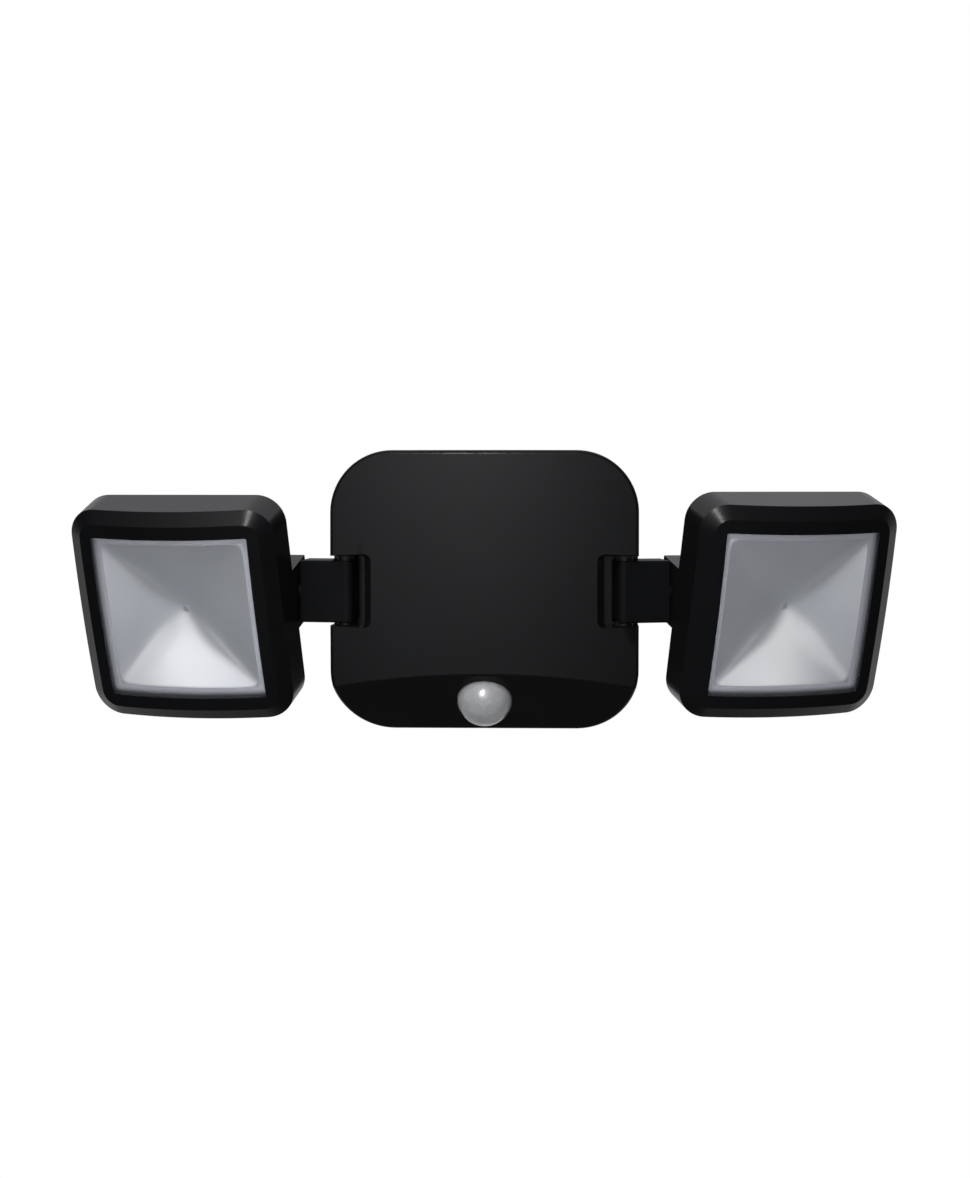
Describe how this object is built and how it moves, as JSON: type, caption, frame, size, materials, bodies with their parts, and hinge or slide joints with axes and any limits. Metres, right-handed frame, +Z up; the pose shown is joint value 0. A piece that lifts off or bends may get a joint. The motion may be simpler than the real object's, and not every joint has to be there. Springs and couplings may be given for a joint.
{
  "type": "motion sensor security light",
  "caption": "Wall-mounted battery security light: a square rounded housing with a motion sensor dome under its chin and square lamp heads on swinging, tilting arms.",
  "frame": {"origin": "centre of the four wall screw holes, on the bracket's back face", "axes": "+Z up, -Y out of the wall towards the viewer, +X to the right seen from the front"},
  "size_m": [0.3744, 0.105, 0.1286],
  "materials": {
    "housing_plastic": "satin gloss, fine grain",
    "bracket_plastic": "matte",
    "inner_plastic": "matte",
    "knob_plastic": "matte",
    "dome_plastic": "milky translucent",
    "lens_clear": "clear polycarbonate",
    "reflector_satin": "satin silver",
    "seal_rubber": "soft rubber",
    "screw_steel": "stainless",
    "contact_metal": "nickel plated",
    "washer_plastic": "black acetal",
    "cell_wrap": "shrink wrap",
    "board_green": "solder mask",
    "board_white": "white solder mask",
    "component_black": "moulded",
    "heat_aluminium": "plain",
    "lead_sleeve": "insulated wire"
  },
  "bodies": {
    "bracket": {"wall_bracket": "bracket_plastic"},
    "housing": {"rear_housing": "housing_plastic", "front_cover": "housing_plastic", "housing_seal": "seal_rubber", "housing_screws": "screw_steel", "battery_tray": "inner_plastic", "battery_cells": "cell_wrap", "battery_contacts": "contact_metal", "battery_cover": "housing_plastic", "battery_cover_seal": "seal_rubber", "battery_cover_screws": "screw_steel", "control_board": "board_green", "board_components": "component_black", "pir_lens": "dome_plastic", "pir_lens_ring": "inner_plastic", "pir_board": "board_green", "pir_sensor": "contact_metal", "light_sensor": "component_black", "mode_switch_body": "inner_plastic", "body_leads": "lead_sleeve", "pan_pins": "screw_steel", "pan_clips": "screw_steel"},
    "switch_knob": {"mode_switch_knob": "knob_plastic"},
    "left_arm": {"left_arm_front_shell": "housing_plastic", "left_arm_rear_shell": "housing_plastic", "left_arm_screws": "screw_steel", "left_pan_washers": "washer_plastic", "left_tilt_bolt": "screw_steel", "left_tilt_washers": "washer_plastic", "left_tilt_nut": "screw_steel", "left_arm_lead": "lead_sleeve"},
    "left_head": {"left_head_front_shell": "housing_plastic", "left_head_rear_cover": "housing_plastic", "left_head_screws": "screw_steel", "left_head_seal": "seal_rubber", "left_lens": "lens_clear", "left_lens_seal": "seal_rubber", "left_reflector": "reflector_satin", "left_led_board": "board_white", "left_heat_plate": "heat_aluminium", "left_head_lead": "lead_sleeve"},
    "right_arm": {"right_arm_front_shell": "housing_plastic", "right_arm_rear_shell": "housing_plastic", "right_arm_screws": "screw_steel", "right_pan_washers": "washer_plastic", "right_tilt_bolt": "screw_steel", "right_tilt_washers": "washer_plastic", "right_tilt_nut": "screw_steel", "right_arm_lead": "lead_sleeve"},
    "right_head": {"right_head_front_shell": "housing_plastic", "right_head_rear_cover": "housing_plastic", "right_head_screws": "screw_steel", "right_head_seal": "seal_rubber", "right_lens": "lens_clear", "right_lens_seal": "seal_rubber", "right_reflector": "reflector_satin", "right_led_board": "board_white", "right_heat_plate": "heat_aluminium", "right_head_lead": "lead_sleeve"}
  },
  "joints": [
    {"name": "bracket_lift", "type": "slide", "parent": "bracket", "child": "housing", "axis": [0, 0, 1], "range_m": [0, 0.012]},
    {"name": "left_pan", "type": "hinge", "parent": "housing", "child": "left_arm", "pos_m": [-0.0637, -0.0644, 0.0003], "axis": [0, 0, 1], "range_deg": [-13.5, 56.5]},
    {"name": "right_pan", "type": "hinge", "parent": "housing", "child": "right_arm", "pos_m": [0.0637, -0.0644, 0.0003], "axis": [0, 0, 1], "range_deg": [-64.4, 5.6]},
    {"name": "left_tilt", "type": "hinge", "parent": "left_arm", "child": "left_head", "pos_m": [-0.0637, -0.0644, 0.0003], "axis": [0.9799, -0.1994, 0], "range_deg": [-49.9, 20.1]},
    {"name": "right_tilt", "type": "hinge", "parent": "right_arm", "child": "right_head", "pos_m": [0.0637, -0.0644, 0.0003], "axis": [0.9432, 0.3322, 0], "range_deg": [-46.9, 23.1]},
    {"name": "mode_switch", "type": "slide", "parent": "housing", "child": "switch_knob", "axis": [1, 0, 0], "range_m": [-0.003, 0.003]}
  ]
}
